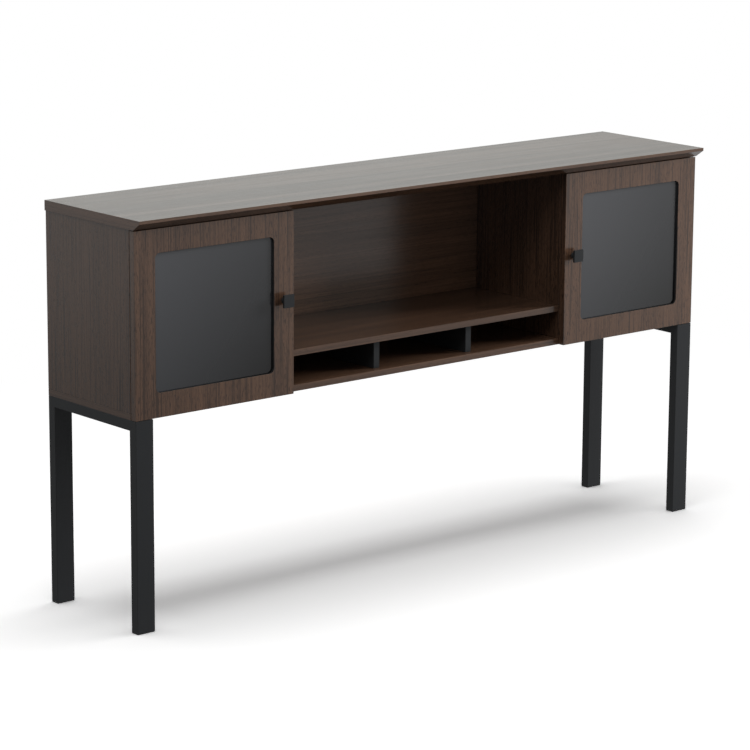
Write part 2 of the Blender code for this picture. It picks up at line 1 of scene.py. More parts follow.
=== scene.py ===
"""Storage hutch: finishes, hardware, studio and camera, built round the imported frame.

Metres, +Z up, the front faces -Y. The plain boards and dividers stay as the frame has them and get their
finish here. Doors, panes, legs and hardware are finished as copies of the frame's pieces. The panes and the
small hardware get eased edges, the bolts and knob screws a drive in their heads, and the hinges their screws.
"""

import json
import math

import bpy
from mathutils import Matrix, Vector

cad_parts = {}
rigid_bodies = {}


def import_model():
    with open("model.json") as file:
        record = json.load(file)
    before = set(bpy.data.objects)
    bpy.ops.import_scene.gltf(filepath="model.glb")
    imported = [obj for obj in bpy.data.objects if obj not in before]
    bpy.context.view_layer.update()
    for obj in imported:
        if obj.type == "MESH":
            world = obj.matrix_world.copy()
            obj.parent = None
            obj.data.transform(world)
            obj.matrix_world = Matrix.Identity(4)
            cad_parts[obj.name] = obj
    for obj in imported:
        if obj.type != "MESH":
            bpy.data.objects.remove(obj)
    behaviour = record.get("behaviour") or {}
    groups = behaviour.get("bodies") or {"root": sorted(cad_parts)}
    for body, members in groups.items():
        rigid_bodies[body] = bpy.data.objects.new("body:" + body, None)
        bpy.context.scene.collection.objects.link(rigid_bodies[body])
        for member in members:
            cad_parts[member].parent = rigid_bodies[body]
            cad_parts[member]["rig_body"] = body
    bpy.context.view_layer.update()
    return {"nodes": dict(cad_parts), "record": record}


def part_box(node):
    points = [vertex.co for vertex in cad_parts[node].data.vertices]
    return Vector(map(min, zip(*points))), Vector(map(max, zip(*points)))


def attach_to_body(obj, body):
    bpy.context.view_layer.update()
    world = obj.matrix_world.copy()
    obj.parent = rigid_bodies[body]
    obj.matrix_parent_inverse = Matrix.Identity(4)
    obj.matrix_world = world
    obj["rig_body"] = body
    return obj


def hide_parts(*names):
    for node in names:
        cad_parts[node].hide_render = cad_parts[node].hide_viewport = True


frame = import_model()

# The view of the photograph
CAMERA_PLACE = (-5.124, -6.014, 2.243)
CAMERA_TURN = math.radians(40.15)
CAMERA_TILT = math.radians(-12.65)
CAMERA_ROLL = math.radians(0.36)
CAMERA_LENS = 153.6
SENSOR = 36.0
QUARTER_TURN = math.radians(90)

# The room: its light on the hutch, and how pale gloss and glass show it, by the way they look along X
WHITE = (1.0, 1.0, 1.0, 1.0)
ROOM_FILL = 0.24
ROOM_TINT = (0.945, 1.01, 1.0, 1.0)
ROOM_GLOSS = {"low": 0.64, "high": 0.72, "to_low": 0.83, "to_high": 0.69}

# The floor: pale to the camera and white far off, its glow in gloss and glass, and its bounce
FLOOR_HALF = 30.0
FLOOR_PALE = (2.58, 2.58, 2.58, 1.0)
FLOOR_FADE_SHAPE = (0.62, 1.0, 1.0)
FLOOR_FADE = {"low": 0.45, "high": 2.28}
FLOOR_GLOW_TO_RIGHT = {"low": 0.0, "high": 3.5, "to_low": 0.40, "to_high": 1.0}
FLOOR_GLOW_FAR_OFF = {"low": 2.5, "high": 5.5, "to_low": 0.36, "to_high": 0.78}
FLOOR_BOUNCE = (0.3, 0.3, 0.3, 1.0)

# Lamps: place, size across and power in watts
LAMP_AIM = (0.0, 0.0, 0.7)
OVERHEAD = {"place_at": (0.0, 0.0, 4.13), "size": (4.4, 2.56), "power": 56.0}
KEY = {"place_at": (6.1, -2.9, 2.6), "size": (2.0, 2.0), "power": 490.0}
RIM = {"place_at": (1.5, 4.8, 2.4), "size": (2.2, 2.2), "power": 80.0}
FRONT = {"place_at": (0.8, -6.5, 1.0), "size": (3.0, 1.5), "power": 30.0}
TOP_FRONT = {"place_at": (-2.5, -2.4, 4.3), "size": (2.4, 1.2), "power": 60.0}

# Walnut grain along Z: clouds by their scale per metre, dashes by their width and length
SWAY_SCALE = (3.0, 3.0, 1.2)
SWAY_REACH = (0.004, 0.004, 0.0)
BROAD_SCALE = (24.0, 24.0, 0.7)
BAND_SCALE = (105.0, 105.0, 1.3)
STREAK_SCALE = (42.0, 42.0, 0.35)
LINE_SIZE = (0.0024, 0.40)
PORE_SIZE = (0.0008, 0.022)
FIBRE_SIZE = (0.0004, 0.012)
UNEVEN_SCALE = 0.4
UNEVEN_REACH = 2.4
STRIP_STARTS = 900.0
DASH_TAPER = -0.5
MIDDLE = 0.5
FACING_LIMIT = 0.7

# How much each of them counts in the tone, how the tone turns to colour and gloss, and how the pores open
BROAD_SHARE = 0.10
LINE_SHARE = 0.56
FIBRE_SHARE = 0.12
BAND_SHARE = 0.22
TONE_SPAN = {"low": 0.35, "high": 0.59}
TONE_GLOSS = {"low": 0.3, "high": 0.7, "to_low": 0.04, "to_high": -0.02}
TONE_RISE = 0.3
CROWDING = 0.30
PORE_SPAN = {"low": 0.55, "high": 0.64, "to_high": 0.80}
DEEP_LINE_SPAN = {"low": 0.50, "high": 0.64, "to_high": 0.80}
PORE_SINK = -0.7

# Marks of handling, and the flecks that a pebbled surface shows
WIDE_MARKS = (7.0, 7.0, 7.0)
WIDE_SHARE = 0.65
SMALL_MARKS = (60.0, 60.0, 60.0)
SMALL_SHARE = 0.35
FLECK_SPAN = {"low": 0.3, "high": 0.7}
COAT_CLOUD_SPAN = {"low": -0.06, "high": 0.06}

# Walnut laminate: tones, streaks and depth of its pores; the long boards' tones are a little darker than the
# upright ones, as painted shade
UPRIGHT_WALNUT = {"Dark": (0.070, 0.038, 0.024, 1), "Light": (0.130, 0.070, 0.042, 1),
                  "Pore": (0.016, 0.010, 0.008, 1), "Streaks": 0.0, "Depth": 1.0}
LONG_WALNUT_WITH_PAINTED_SHADE = {"Dark": (0.064, 0.035, 0.022, 1), "Light": (0.119, 0.064, 0.039, 1),
               "Pore": (0.016, 0.010, 0.008, 1), "Streaks": 0.65, "Depth": 0.5}
LAMINATE_HANDLING = 0.06
LAMINATE_ROUGHNESS = 0.20
LAMINATE_RELIEF = {"strength": 0.25, "depth": 0.0002}

# Smoked panes: their deep tint, and a painted reflection that makes them paler towards their left edge and
# towards their upper one
PANE_DEEP = (0.001, 0.001, 0.001, 1)
PANE_PAINTED_REFLECTION = (0.082, 0.085, 0.093, 1)
PAINTED_REFLECTION_LEFT = 0.6
PAINTED_REFLECTION_UP = 0.45
PANE_HANDLING = 0.05
PANE_ROUGHNESS = 0.16

# Clear rubber
RUBBER_DARK = (0.46, 0.47, 0.47, 1)
RUBBER_LIGHT = (0.56, 0.57, 0.57, 1)
RUBBER_CLOUD_SPAN = {"low": -0.08, "high": 0.08}
RUBBER_HANDLING = 0.2
RUBBER_ROUGHNESS = 0.35

# Which boards have their grain upright, and which along the length
UPRIGHT_BOARDS = ("left_end_panel", "right_end_panel", "left_upright", "right_upright",
                  "left_door_frame", "right_door_frame")
LONG_BOARDS = ("top_panel", "bottom_panel", "back_panel", "centre_shelf")

# How far the edges of each kind of finished piece are eased
EASED = {
    "hinge_cup": 0.00025, "hinge_arm": 0.0003, "hinge_plate": 0.0004, "hinge_pin": 0.0002, "foot": 0.0006,
    "glass_bead": 0.0008, "glass": 0.0004, "frame_bolt": 0.0002, "knob_screw": 0.0002, "bumper": 0.0003,
    "knob": 0.0, "leg_frame": 0.0, "door_frame": 0.0,
}
EASE_STEPS = 2
EDGE_ANGLE = math.radians(40)
SMOOTH_ANGLE = math.radians(50)
FLAT_ANGLE = math.radians(0.5)
SAME_PLACE = 1e-5
MOSTLY = 0.5
# Window edge faces that face the front less than this get black as painted shade
SHADED_WINDOW_EDGE_FACING = 0.3

# Screws, their crosses and the bolts' sockets
WOOD_SCREW = {"head_radius": 0.0034, "head_height": 0.0014, "shank_radius": 0.0016, "shank_length": 0.0012}
ARM_SCREW = {"head_radius": 0.0032, "head_height": 0.0018, "shank_radius": 0.0024, "shank_length": 0.0002}
SCREW_SIDES = 24
SCREW_RIM = 0.0007
SCREW_STEPS = 3
CROSS_ARM = 0.0008
CROSS_REACH = 0.0014
CROSS_DEPTH = 0.0007
SOCKET_SIDES = 6
SOCKET_RADIUS = 0.0029
SOCKET_DEPTH = 0.0022
SOCKET_FLARE = 0.25 * SOCKET_RADIUS

# Where the screws sit on a hinge: off its middle, on its plate and from the arm's back end
SIDES = (("left", -1), ("right", 1))
LEVELS = ("upper", "lower")
FLANGE_SHIFT = 0.006
FLANGE_SCREWS = (("high", 0.024), ("low", -0.024))
PLATE_BASE = 0.002
PLATE_SCREWS = (("high", 0.016), ("low", -0.016))
ARM_SCREWS = (("fixing", 0.013), ("setting", 0.038))


# Shader helpers

def fit(tree, node, inputs):
    """Sets a node's inputs: one given as a socket is linked, and anything else is set as its value."""
    for name, value in inputs.items():
        if isinstance(value, bpy.types.NodeSocket):
            tree.links.new(value, node.inputs[name])
        else:
            node.inputs[name].default_value = value


def add(tree, kind, inputs=None, **settings):
    """Adds a shader node with its settings and inputs."""
    made = tree.nodes.new("ShaderNode" + kind)
    for name, value in settings.items():
        setattr(made, name, value)
    fit(tree, made, inputs or {})
    return made


def maths(tree, operation, first, second=0.0, third=0.0):
    """One Math node."""
    return add(tree, "Math", {0: first, 1: second, 2: third}, operation=operation).outputs[0]


def plus_share(tree, total, value, share):
    """A total with a share of another value added to it."""
    return maths(tree, "MULTIPLY_ADD", value, share, total)


def vector_maths(tree, operation, first, second=(0.0, 0.0, 0.0)):
    """One Vector Math node."""
    return add(tree, "VectorMath", {0: first, 1: second}, operation=operation).outputs["Vector"]


def length_of(tree, vector):
    return add(tree, "VectorMath", {0: vector}, operation="LENGTH").outputs["Value"]


def split(tree, vector):
    """The X, Y and Z of a vector."""
    return add(tree, "SeparateXYZ", {0: vector}).outputs


def join(tree, x, y, z):
    return add(tree, "CombineXYZ", {0: x, 1: y, 2: z}).outputs[0]


def blend_colours(tree, share, first, second):
    return add(tree, "Mix", {0: share, 6: first, 7: second}, data_type="RGBA").outputs[2]


def blend_vectors(tree, share, first, second):
    return add(tree, "Mix", {0: share, 4: first, 5: second}, data_type="VECTOR").outputs[1]


def stretch(tree, value, low, high, to_low=0.0, to_high=1.0):
    """Maps a value from one span to another, and holds it there."""
    made = add(tree, "MapRange", {"Value": value, "From Min": low, "From Max": high,
                                  "To Min": to_low, "To Max": to_high})
    return made.outputs[0]


def noise(tree, vector, scale, detail=2.0, rough=0.5):
    """A noise node whose scale is given per metre along each axis."""
    scaled = vector_maths(tree, "MULTIPLY", vector, scale)
    return add(tree, "TexNoise", {"Vector": scaled, "Scale": 1.0, "Detail": detail, "Roughness": rough})


def cloud(tree, vector, scale, detail=2.0, rough=0.5):
    """The value of a noise."""
    return noise(tree, vector, scale, detail, rough).outputs[0]


def line_noise(tree, along):
    """A noise value along one line."""
    made = add(tree, "TexNoise", {"W": along, "Scale": 1.0, "Detail": 1.0}, noise_dimensions="1D")
    return made.outputs[0]


def relief(tree, height, strength, depth):
    return add(tree, "Bump", {"Height": height, "Strength": strength, "Distance": depth}).outputs[0]


def new_group(name, takes, gives):
    """An empty node group with named sockets, and the two ends inside it."""
    tree = bpy.data.node_groups.new(name, "ShaderNodeTree")
    for title, kind in takes.items():
        tree.interface.new_socket(title, in_out="INPUT", socket_type="NodeSocket" + kind)
    for title, kind in gives.items():
        tree.interface.new_socket(title, in_out="OUTPUT", socket_type="NodeSocket" + kind)
    return tree, tree.nodes.new("NodeGroupInput").outputs, tree.nodes.new("NodeGroupOutput").inputs


def place(tree, group, inputs):
    """Puts a node group into a material."""
    return add(tree, "Group", inputs, node_tree=group).outputs


def new_finish(name):
    """An empty material, its shader and its object coordinates."""
    made = bpy.data.materials.new(name)
    made.use_nodes = True
    tree = made.node_tree
    tree.nodes.clear()
    shader = add(tree, "BsdfPrincipled")
    add(tree, "OutputMaterial", {"Surface": shader.outputs[0]})
    return made, tree, shader, add(tree, "TexCoord").outputs


# Shared effects

def turn_to_grain(tree, spot, facing, upright):
    """Turns object coordinates so that the grain runs along Z, also on the edge bands that cross it."""
    part = split(tree, spot)
    away = split(tree, vector_maths(tree, "ABSOLUTE", facing))
    along_x = join(tree, part["Y"], part["Z"], part["X"])
    along_y = join(tree, part["Z"], part["X"], part["Y"])
    on_end = maths(tree, "GREATER_THAN", away["X"], FACING_LIMIT)
    on_head = maths(tree, "GREATER_THAN", away["Z"], FACING_LIMIT)
    lying = blend_vectors(tree, on_end, along_x, along_y)
    standing = blend_vectors(tree, on_head, spot, along_x)
    return blend_vectors(tree, upright, lying, standing)


def dashes(tree, vector, width, length):
    """Tapering dashes along Z, in strips of uneven width that each start at a place of their own."""
    part = split(tree, vector)
    across = maths(tree, "DIVIDE", maths(tree, "ADD", part["X"], part["Y"]), width)
    uneven = line_noise(tree, maths(tree, "MULTIPLY", across, UNEVEN_SCALE))
    across = maths(tree, "ADD", across, maths(tree, "MULTIPLY", uneven, UNEVEN_REACH))
    strip = maths(tree, "FLOOR", across)
    start = add(tree, "TexWhiteNoise", {"W": strip}, noise_dimensions="1D").outputs["Value"]
    along = plus_share(tree, maths(tree, "DIVIDE", part["Z"], length), start, STRIP_STARTS)
    off_centre = maths(tree, "SUBTRACT", maths(tree, "FRACT", across), MIDDLE)
    taper = maths(tree, "MULTIPLY", off_centre, off_centre)
    return plus_share(tree, line_noise(tree, along), taper, DASH_TAPER)


def make_straight_grain():
    """Fine straight walnut grain: broad bands, long lines, streaks, short dark pores and fibres."""
    tree, takes, gives = new_group(
        "straight_grain",
        {"Place": "Vector", "Facing": "Vector", "Upright": "Float", "Dark": "Color", "Light": "Color",
         "Pore": "Color", "Streaks": "Float", "Depth": "Float"},
        {"Color": "Color", "Roughness": "Float", "Height": "Float"})
    turned = turn_to_grain(tree, takes["Place"], takes["Facing"], takes["Upright"])
    sway = noise(tree, turned, SWAY_SCALE, detail=1.0).outputs[1]
    sway = vector_maths(tree, "SUBTRACT", sway, (MIDDLE, MIDDLE, MIDDLE))
    vector = vector_maths(tree, "ADD", turned, vector_maths(tree, "MULTIPLY", sway, SWAY_REACH))
    broad = cloud(tree, vector, BROAD_SCALE)
    band = cloud(tree, vector, BAND_SCALE, rough=0.6)
    streak = cloud(tree, vector, STREAK_SCALE, detail=3.0, rough=0.65)
    streak = maths(tree, "SUBTRACT", streak, MIDDLE)
    line = dashes(tree, vector, *LINE_SIZE)
    pores = dashes(tree, vector, *PORE_SIZE)
    fibre = dashes(tree, vector, *FIBRE_SIZE)
    tone = maths(tree, "MULTIPLY", broad, BROAD_SHARE)
    for value, share in ((line, LINE_SHARE), (fibre, FIBRE_SHARE), (band, BAND_SHARE),
                         (streak, takes["Streaks"])):
        tone = plus_share(tree, tone, value, share)
    crowd = maths(tree, "MULTIPLY", maths(tree, "SUBTRACT", broad, MIDDLE), CROWDING)
    open_pore = stretch(tree, maths(tree, "SUBTRACT", pores, crowd), **PORE_SPAN)
    deep_line = stretch(tree, maths(tree, "SUBTRACT", line, crowd), **DEEP_LINE_SPAN)
    open_pore = maths(tree, "MULTIPLY", maths(tree, "MAXIMUM", open_pore, deep_line), takes["Depth"])
    colour = blend_colours(tree, stretch(tree, tone, **TONE_SPAN), takes["Dark"], takes["Light"])
    height = plus_share(tree, maths(tree, "MULTIPLY", tone, TONE_RISE), open_pore, PORE_SINK)
    tree.links.new(blend_colours(tree, open_pore, colour, takes["Pore"]), gives["Color"])
    tree.links.new(stretch(tree, tone, **TONE_GLOSS), gives["Roughness"])
    tree.links.new(height, gives["Height"])
    return tree


def make_handling():
    """Faint clouds of handling and cleaning, as a value about zero that shifts a roughness."""
    tree, takes, gives = new_group("handling", {"Vector": "Vector", "Amount": "Float"}, {"Value": "Float"})
    wide = cloud(tree, takes["Vector"], WIDE_MARKS, detail=3.0, rough=0.6)
    small = cloud(tree, takes["Vector"], SMALL_MARKS)
    mixed = plus_share(tree, maths(tree, "MULTIPLY", wide, WIDE_SHARE), small, SMALL_SHARE)
    about_zero = maths(tree, "SUBTRACT", mixed, MIDDLE)
    tree.links.new(maths(tree, "MULTIPLY", about_zero, takes["Amount"]), gives["Value"])
    return tree


def make_pebble():
    """The fine orange peel of powder coat and moulded plastic, as a height."""
    tree, takes, gives = new_group("pebble", {"Vector": "Vector", "Per Metre": "Float"}, {"Height": "Float"})
    tree.links.new(cloud(tree, takes["Vector"], takes["Per Metre"]), gives["Height"])
    return tree


STRAIGHT_GRAIN = make_straight_grain()
HANDLING = make_handling()
PEBBLE = make_pebble()


# Finishes

def walnut_laminate(name, upright, tones):
    """Dark walnut laminate, satin, with its grain upright or along the length."""
    made, tree, shader, coords = new_finish(name)
    grain = place(tree, STRAIGHT_GRAIN, {
        "Place": coords["Object"], "Facing": coords["Normal"], "Upright": upright, **tones})
    marks = place(tree, HANDLING, {"Vector": coords["Object"], "Amount": LAMINATE_HANDLING})
    rough = maths(tree, "ADD", maths(tree, "ADD", grain["Roughness"], marks["Value"]), LAMINATE_ROUGHNESS)
    fit(tree, shader, {"Base Color": grain["Color"], "Roughness": rough, "Specular IOR Level": 0.46,
                       "Normal": relief(tree, grain["Height"], **LAMINATE_RELIEF)})
    return made


def smoked_glass(name, node):
    """Dark satin glass with a painted reflection across the pane, palest at its upper left corner and deepest
    at its lower right.
    """
    made, tree, shader, coords = new_finish(name)
    low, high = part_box(node)
    marks = place(tree, HANDLING, {"Vector": coords["Object"], "Amount": PANE_HANDLING})
    across = split(tree, coords["Object"])
    # Painted reflection: the pane's colour gets paler towards its left edge and its upper edge
    painted_reflection = maths(tree, "ADD", stretch(tree, across["X"], low.x, high.x, PAINTED_REFLECTION_LEFT, 0.0),
                  stretch(tree, across["Z"], low.z, high.z, 0.0, PAINTED_REFLECTION_UP))
    colour = blend_colours(tree, maths(tree, "ADD", painted_reflection, marks["Value"]), PANE_DEEP, PANE_PAINTED_REFLECTION)
    fit(tree, shader, {"Base Color": colour, "Roughness": maths(tree, "ADD", marks["Value"], PANE_ROUGHNESS),
                       "Specular IOR Level": 0.42, "Transmission Weight": 0.2, "IOR": 1.5})
    return made


def pebbled_finish(name, dark, light, handling, per_metre, rough, strength, depth, cloudy=False, plain=None):
    """A coated, moulded or plated surface, pebbled and faintly handled, its colour flecked or cloudy."""
    made, tree, shader, coords = new_finish(name)
    marks = place(tree, HANDLING, {"Vector": coords["Object"], "Amount": handling})["Value"]
    pebble = place(tree, PEBBLE, {"Vector": coords["Object"], "Per Metre": per_metre})["Height"]
    tint = stretch(tree, marks, **COAT_CLOUD_SPAN) if cloudy else stretch(tree, pebble, **FLECK_SPAN)
    fit(tree, shader, {"Base Color": blend_colours(tree, tint, dark, light),
                       "Roughness": maths(tree, "ADD", marks, rough),
                       "Normal": relief(tree, pebble, strength, depth), **(plain or {})})
    return made


def charcoal_powder_coat():
    return pebbled_finish(
        "charcoal_powder_coat", dark=(0.0220, 0.0230, 0.0247, 1), light=(0.0260, 0.0272, 0.0292, 1),
        handling=0.16, per_metre=1400.0, rough=0.5, strength=0.18, depth=0.0002, cloudy=True,
        plain={"Specular IOR Level": 0.2})


def charcoal_board():
    return pebbled_finish(
        "charcoal_board", dark=(0.019, 0.020, 0.021, 1), light=(0.025, 0.026, 0.028, 1),
        handling=0.12, per_metre=1800.0, rough=0.5, strength=0.12, depth=0.0001,
        plain={"Specular IOR Level": 0.2})


def nickel_plate():
    return pebbled_finish(
        "nickel_plate", dark=(0.56, 0.55, 0.52, 1), light=(0.66, 0.65, 0.62, 1),
        handling=0.22, per_metre=2500.0, rough=0.26, strength=0.05, depth=0.0001, plain={"Metallic": 1.0})


def black_plastic():
    return pebbled_finish(
        "black_plastic", dark=(0.011, 0.011, 0.012, 1), light=(0.017, 0.017, 0.018, 1),
        handling=0.15, per_metre=2200.0, rough=0.55, strength=0.2, depth=0.0001)


def clear_rubber():
    made, tree, shader, coords = new_finish("clear_rubber")
    marks = place(tree, HANDLING, {"Vector": coords["Object"], "Amount": RUBBER_HANDLING})["Value"]
    colour = blend_colours(tree, stretch(tree, marks, **RUBBER_CLOUD_SPAN), RUBBER_DARK, RUBBER_LIGHT)
    fit(tree, shader, {"Base Color": colour, "Roughness": maths(tree, "ADD", marks, RUBBER_ROUGHNESS),
                       "Transmission Weight": 0.6, "IOR": 1.45})
    return made


FINISHES = {
    "upright_walnut": walnut_laminate("upright_walnut", upright=1.0, tones=UPRIGHT_WALNUT),
    # The long boards' finish has darker tones as painted shade; their streaks and pore depth are the grain's
    # own
    "long_walnut_painted_shade": walnut_laminate("long_walnut_painted_shade", upright=0.0, tones=LONG_WALNUT_WITH_PAINTED_SHADE),
    "charcoal_steel": charcoal_powder_coat(),
    "charcoal_board": charcoal_board(),
    "left_glass": smoked_glass("left_smoked_glass", "left_glass"),
    "right_glass": smoked_glass("right_smoked_glass", "right_glass"),
    "nickel_steel": nickel_plate(),
    "black_plastic": black_plastic(),
    "clear_rubber": clear_rubber(),
}
SLOTS = {part["node"]: part["material_slot"] for part in frame["record"]["subparts"]}


def finish_of(node):
    """The finish of a node: by its slot, or for boards by the way of their grain and for panes their own."""
    if node in UPRIGHT_BOARDS:
        return FINISHES["upright_walnut"]
    if node in LONG_BOARDS:
        return FINISHES["long_walnut_painted_shade"]
    return FINISHES.get(node, FINISHES.get(SLOTS[node]))


def dress(piece, *finishes):
    """Gives a piece its finishes in place of what it had."""
    piece.data.materials.clear()
    for finish in finishes:
        piece.data.materials.append(finish)


# Modelling helpers

def pick(piece):
    """Makes one piece the only one selected."""
    bpy.ops.object.select_all(action="DESELECT")
    piece.select_set(True)
    bpy.context.view_layer.objects.active = piece


def edit(piece):
    """Opens one piece for editing, with all of it selected."""
    pick(piece)
    bpy.ops.object.mode_set(mode="EDIT")
    bpy.ops.mesh.select_all(action="SELECT")


def choose_faces(piece, wanted):
    """Selects the faces whose normal a test wants, in edit mode."""
    bpy.ops.mesh.select_mode(type="FACE")
    bpy.ops.mesh.select_all(action="DESELECT")
    bpy.ops.object.mode_set(mode="OBJECT")
    for face in piece.data.polygons:
        face.select = wanted(face.normal)
    bpy.ops.object.mode_set(mode="EDIT")


def apply_step(piece, kind, **settings):
    """Adds one modifier and applies it."""
    pick(piece)
    step = piece.modifiers.new(kind.lower(), kind)
    for name, value in settings.items():
        setattr(step, name, value)
    bpy.ops.object.modifier_apply(modifier=step.name)


def cut(piece, cutter):
    """Cuts a helper shape out of a piece and removes it."""
    apply_step(piece, "BOOLEAN", operation="DIFFERENCE", solver="EXACT", object=cutter)
    bpy.data.objects.remove(cutter)


def ease(piece, width):
    """Rounds the sharp edges of a piece a little and shades its curves smooth and its flats flat."""
    if width:
        apply_step(piece, "BEVEL", width=width, segments=EASE_STEPS, limit_method="ANGLE",
                   angle_limit=EDGE_ANGLE)
    pick(piece)
    bpy.ops.object.shade_smooth_by_angle(angle=SMOOTH_ANGLE)
    apply_step(piece, "WEIGHTED_NORMAL", keep_sharp=True)


def move(piece, matrix):
    """Puts a piece's place into its mesh and leaves its object at the origin."""
    piece.data.transform(matrix)
    piece.data.update()


def attach(piece, node):
    """Lets a piece move with a node's body."""
    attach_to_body(piece, frame["nodes"][node]["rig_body"])


# Screws and sockets

def cross_cutter():
    """A cross of four short arms, to press the drive into a screw head at height zero."""
    bpy.ops.object.select_all(action="DESELECT")
    bpy.ops.mesh.primitive_cube_add(size=CROSS_ARM)
    cross = bpy.context.object
    edit(cross)
    bpy.ops.transform.resize(value=(1.0, 1.0, 2 * CROSS_DEPTH / CROSS_ARM))
    choose_faces(cross, lambda normal: abs(normal.z) < MOSTLY)
    bpy.ops.mesh.extrude_faces_move(TRANSFORM_OT_shrink_fatten={"value": CROSS_REACH})
    bpy.ops.object.mode_set(mode="OBJECT")
    return cross


def socket_cutter():
    """A six-sided plug for a bolt's key, its mouth flared."""
    bpy.ops.object.select_all(action="DESELECT")
    bpy.ops.mesh.primitive_cylinder_add(vertices=SOCKET_SIDES, radius=SOCKET_RADIUS, depth=2 * SOCKET_DEPTH)
    plug = bpy.context.object
    edit(plug)
    choose_faces(plug, lambda normal: normal.z > MOSTLY)
    bpy.ops.mesh.inset(thickness=SOCKET_FLARE, depth=SOCKET_FLARE)
    bpy.ops.object.mode_set(mode="OBJECT")
    return plug


def model_screw(name, head_radius, head_height, shank_radius, shank_length):
    """A raised-head wood screw with a cross recess, its seat at height zero and its head upwards."""
    bpy.ops.object.select_all(action="DESELECT")
    bpy.ops.mesh.primitive_cylinder_add(
        vertices=SCREW_SIDES, radius=head_radius, depth=head_height, location=(0, 0, head_height / 2))
    screw = bpy.context.object
    screw.name = name
    bpy.ops.object.transform_apply(location=True)
    edit(screw)
    choose_faces(screw, lambda normal: normal.z < -MOSTLY)
    bpy.ops.mesh.inset(thickness=head_radius - shank_radius)
    bpy.ops.mesh.extrude_region_move(TRANSFORM_OT_translate={"value": (0, 0, -shank_length)})
    choose_faces(screw, lambda normal: normal.z > MOSTLY)
    bpy.ops.mesh.bevel(offset=SCREW_RIM, segments=SCREW_STEPS, affect="EDGES")
    bpy.ops.object.mode_set(mode="OBJECT")
    cross = cross_cutter()
    move(cross, Matrix.Translation((0, 0, head_height)))
    cut(screw, cross)
    ease(screw, width=0.0)
    return screw


def put_screw(model, name, seat, towards, node):
    """A copy of a screw on its seat, moving with the node that it is in."""
    screw = bpy.data.objects.new(name, model.data.copy())
    bpy.context.scene.collection.objects.link(screw)
    move(screw, Matrix.Translation(seat) @ Vector(towards).to_track_quat("Z", "Y").to_matrix().to_4x4())
    dress(screw, FINISHES["nickel_steel"])
    attach(screw, node)


def put_flange_screws(model, hinge, side):
    low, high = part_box(hinge + "_cup")
    middle = (low + high) / 2
    for spot, rise in FLANGE_SCREWS:
        seat = (middle.x - side * FLANGE_SHIFT, high.y, middle.z + rise)
        put_screw(model, f"{hinge}_{spot}_flange_screw", seat, (0, 1, 0), hinge + "_cup")


def put_plate_screws(model, hinge, side):
    low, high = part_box(hinge + "_plate")
    middle = (low + high) / 2
    face = max(abs(low.x), abs(high.x)) - PLATE_BASE
    for spot, rise in PLATE_SCREWS:
        seat = (side * face, middle.y, middle.z + rise)
        put_screw(model, f"{hinge}_{spot}_plate_screw", seat, (-side, 0, 0), hinge + "_plate")


def put_arm_screws(model, hinge, side):
    low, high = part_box(hinge + "_arm")
    face = min(abs(low.x), abs(high.x))
    for spot, back in ARM_SCREWS:
        seat = (side * face, high.y - back, (low.z + high.z) / 2)
        put_screw(model, f"{hinge}_{spot}_screw", seat, (-side, 0, 0), hinge + "_arm")


def put_hinge_screws():
    """Two screws in each cup's flange and each plate, and the fixing and setting screws on each arm."""
    wood_screw = model_screw("wood_screw", **WOOD_SCREW)
    arm_screw = model_screw("arm_screw", **ARM_SCREW)
    for word, side in SIDES:
        for level in LEVELS:
            hinge = f"{word}_{level}_hinge"
            put_flange_screws(wood_screw, hinge, side)
            put_plate_screws(wood_screw, hinge, side)
            put_arm_screws(arm_screw, hinge, side)
    for model in (wood_screw, arm_screw):
        bpy.data.objects.remove(model)


# Finished copies of the frame's pieces

def copy_of(node):
    """A copy of a node as a piece of its own, its loose triangles merged into whole faces."""
    piece = bpy.data.objects.new(node + "_finished", frame["nodes"][node].data.copy())
    bpy.context.scene.collection.objects.link(piece)
    edit(piece)
    bpy.ops.mesh.remove_doubles(threshold=SAME_PLACE)
    bpy.ops.mesh.dissolve_limited(angle_limit=FLAT_ANGLE)
    bpy.ops.object.mode_set(mode="OBJECT")
    return piece


def press_drive(piece, node):
    """Presses the key's socket into a bolt's head, or the cross into a knob screw's."""
    low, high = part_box(node)
    middle = (low + high) / 2
    if node.endswith("frame_bolt"):
        cutter = socket_cutter()
        move(cutter, Matrix.Translation((middle.x, middle.y, low.z)))
    else:
        cutter = cross_cutter()
        turn = Matrix.Rotation(QUARTER_TURN, 4, "X")
        move(cutter, Matrix.Translation((middle.x, high.y, middle.z)) @ turn)
    cut(piece, cutter)


def paint_window_edge_shade(piece, node):
    """Paints the faces of the door's window edge, in front of the pane, black: painted shade of the recess
    round the pane.
    """
    low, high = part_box(node.replace("door_frame", "glass"))
    dress(piece, finish_of(node), FINISHES["black_plastic"])
    for face in piece.data.polygons:
        inside = low.x < face.center.x < high.x and low.z < face.center.z < high.z
        # The black plastic finish here is painted shade on the window edge, not a separate black part
        if inside and abs(face.normal.y) < SHADED_WINDOW_EDGE_FACING:
            face.material_index = 1


def finish_piece(node, width):
    """Makes the finished copy of one node and lets it stand for it."""
    piece = copy_of(node)
    if node.endswith(("frame_bolt", "knob_screw")):
        press_drive(piece, node)
    ease(piece, width)
    dress(piece, finish_of(node))
    if node.endswith("door_frame"):
        paint_window_edge_shade(piece, node)
    attach(piece, node)
    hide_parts(node)


def dress_frame():
    """Gives every node its finish, and finishes hardware, doors, panes and legs as copies."""
    for node, piece in list(frame["nodes"].items()):
        dress(piece, finish_of(node))
        for kind, width in EASED.items():
            if node.endswith("_" + kind):
                finish_piece(node, width)


# Studio and camera

